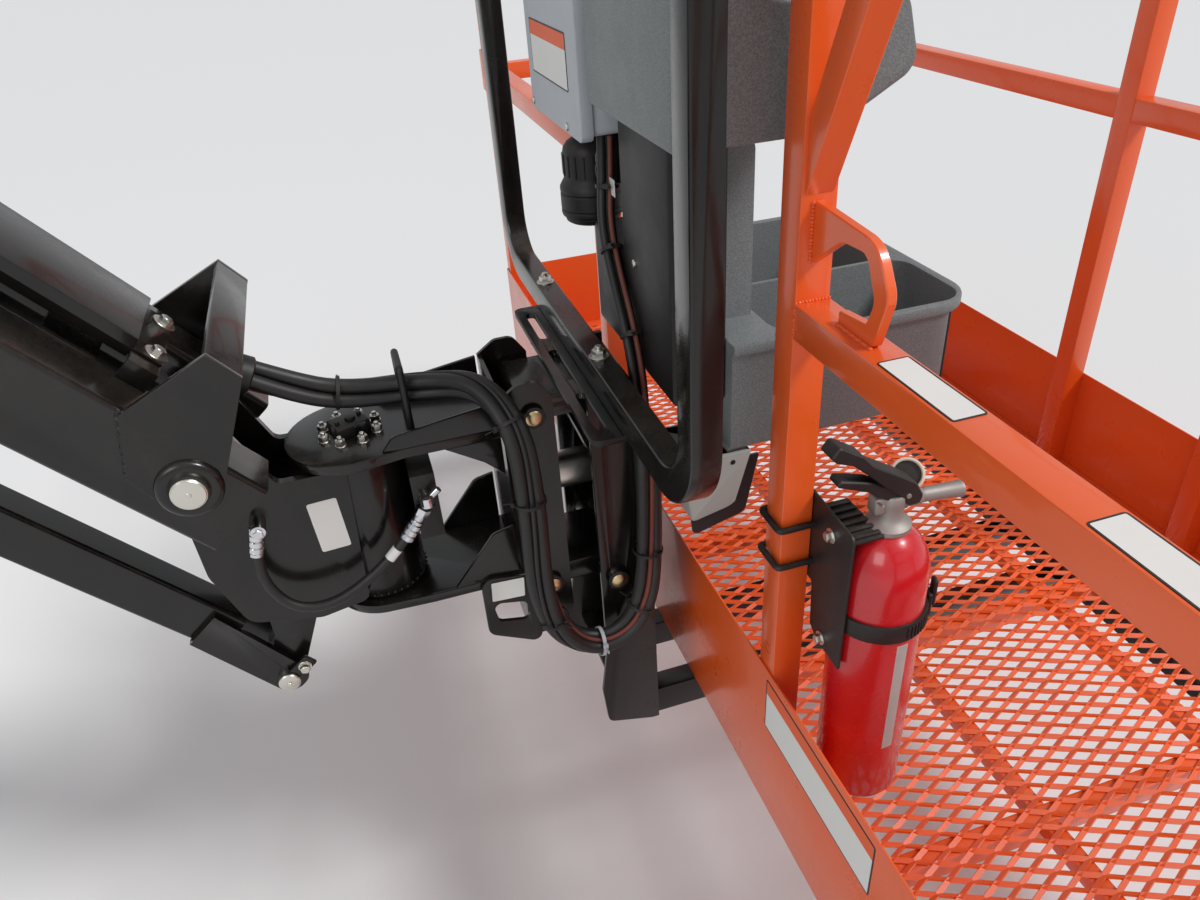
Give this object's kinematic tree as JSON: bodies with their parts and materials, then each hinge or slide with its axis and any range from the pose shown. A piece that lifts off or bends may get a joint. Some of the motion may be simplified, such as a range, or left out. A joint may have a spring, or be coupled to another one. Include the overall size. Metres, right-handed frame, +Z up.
{
  "type": "boom lift work platform with jib",
  "caption": "Railed work platform of a boom lift on its rotator, load sensing mount and parallelogram jib with twin tubes, ending at the knuckle that pins to the boom.",
  "frame": {"origin": "centre of the bore for the boom pin in the rear knuckle", "axes": "+X from the boom towards the platform, +Y to the left, along the pin, +Z up with the platform level"},
  "size_m": [2.5872, 2.4474, 1.6703],
  "materials": {
    "lift_paint": "black gloss paint",
    "frame_paint": "orange gloss paint",
    "light_grey": "light grey paint",
    "zinc": "zinc plated",
    "dark_metal": "satin black",
    "dark_plastic": "moulded",
    "grey_plastic": "moulded",
    "chrome_rod": "polished",
    "red_paint": "gloss paint",
    "hose_rubber": "satin"
  },
  "bodies": {
    "boom_knuckle": {"rear_knuckle": "lift_paint", "rear_pins": "zinc"},
    "jib": {"jib_tubes": "lift_paint", "jib_cross_plates": "lift_paint", "hose_cover": "lift_paint", "front_upper_pin": "zinc"},
    "lower_link": {"lower_link": "lift_paint", "front_lower_pin": "zinc"},
    "cylinder_barrel": {"cylinder_barrel": "dark_metal"},
    "cylinder_rod": {"cylinder_rod": "chrome_rod"},
    "platform_head": {"front_knuckle": "lift_paint", "valve_block": "dark_metal", "feed_hose": "hose_rubber"},
    "platform": {"upper_arm": "lift_paint", "hose_hoop": "hose_rubber", "lower_arm": "lift_paint", "inner_mount": "lift_paint", "outer_mount": "lift_paint", "mount_links": "lift_paint", "mount_pins": "zinc", "load_cell": "zinc", "tie_down_plate": "lift_paint", "support_arms": "lift_paint", "slotted_plate": "lift_paint", "console_guard": "lift_paint", "socket_box": "light_grey", "socket_box_lid": "light_grey", "cable_sockets": "dark_plastic", "console_cover": "dark_plastic", "control_console": "dark_plastic", "console_hangers": "frame_paint", "tool_tray": "grey_plastic", "document_holder": "grey_plastic", "platform_posts": "frame_paint", "mid_rails": "frame_paint", "top_rails": "frame_paint", "end_rail": "frame_paint", "rail_braces": "frame_paint", "side_toe_boards": "frame_paint", "end_toe_boards": "frame_paint", "floor_side_beams": "frame_paint", "floor_cross_beams": "frame_paint", "floor_stringers": "frame_paint", "floor_mesh": "frame_paint", "lanyard_plates": "frame_paint", "extinguisher_bottle": "red_paint", "extinguisher_valve": "dark_metal", "extinguisher_bracket": "dark_metal", "gate_hinges": "frame_paint", "hose_loom": "hose_rubber", "supply_hoses": "hose_rubber"},
    "gate": {"gate_stiles": "frame_paint", "gate_rails": "frame_paint"},
    "entry_bar": {"entry_bar": "frame_paint"}
  },
  "joints": [
    {"name": "jib_pitch", "type": "hinge", "parent": "boom_knuckle", "child": "jib", "pos_m": [0.17, 0, 0.09], "axis": [0, -1, 0], "range_deg": [-10, 120]},
    {"name": "link_pitch", "type": "hinge", "parent": "boom_knuckle", "child": "lower_link", "pos_m": [0.178, 0, -0.328], "axis": [0, -1, 0], "range_deg": [-10.5, 120.5]},
    {"name": "head_level", "type": "hinge", "parent": "jib", "child": "platform_head", "pos_m": [0.96706, 0, -0.85989], "axis": [0, -1, 0], "range_deg": [-120.5, 10.5]},
    {"name": "cylinder_tilt", "type": "hinge", "parent": "boom_knuckle", "child": "cylinder_barrel", "pos_m": [0.17, 0, -0.06], "axis": [0, -1, 0], "range_deg": [-10.8, 118]},
    {"name": "rod_slide", "type": "slide", "parent": "cylinder_barrel", "child": "cylinder_rod", "axis": [0.759, 0, -0.6511], "range_m": [-0.027, 0.269]},
    {"name": "platform_rotate", "type": "hinge", "parent": "platform_head", "child": "platform", "pos_m": [1.14106, 0, -1.04289], "axis": [0, 0, 1], "range_deg": [-90, 90]},
    {"name": "gate_swing", "type": "hinge", "parent": "platform", "child": "gate", "pos_m": [2.46706, -1.173, -0.7929], "axis": [0, 0, -1], "range_deg": [0, 90]},
    {"name": "entry_bar_lift", "type": "slide", "parent": "platform", "child": "entry_bar", "axis": [0, 0, 1], "range_m": [0, 0.3]}
  ],
  "couplings": [
    {"joint": "link_pitch", "follows": "jib_pitch", "ratio": 1},
    {"joint": "head_level", "follows": "jib_pitch", "ratio": -1},
    {"joint": "cylinder_tilt", "follows": "jib_pitch", "ratio": 0.975},
    {"joint": "rod_slide", "follows": "jib_pitch", "m_per_rad": 0.126}
  ]
}
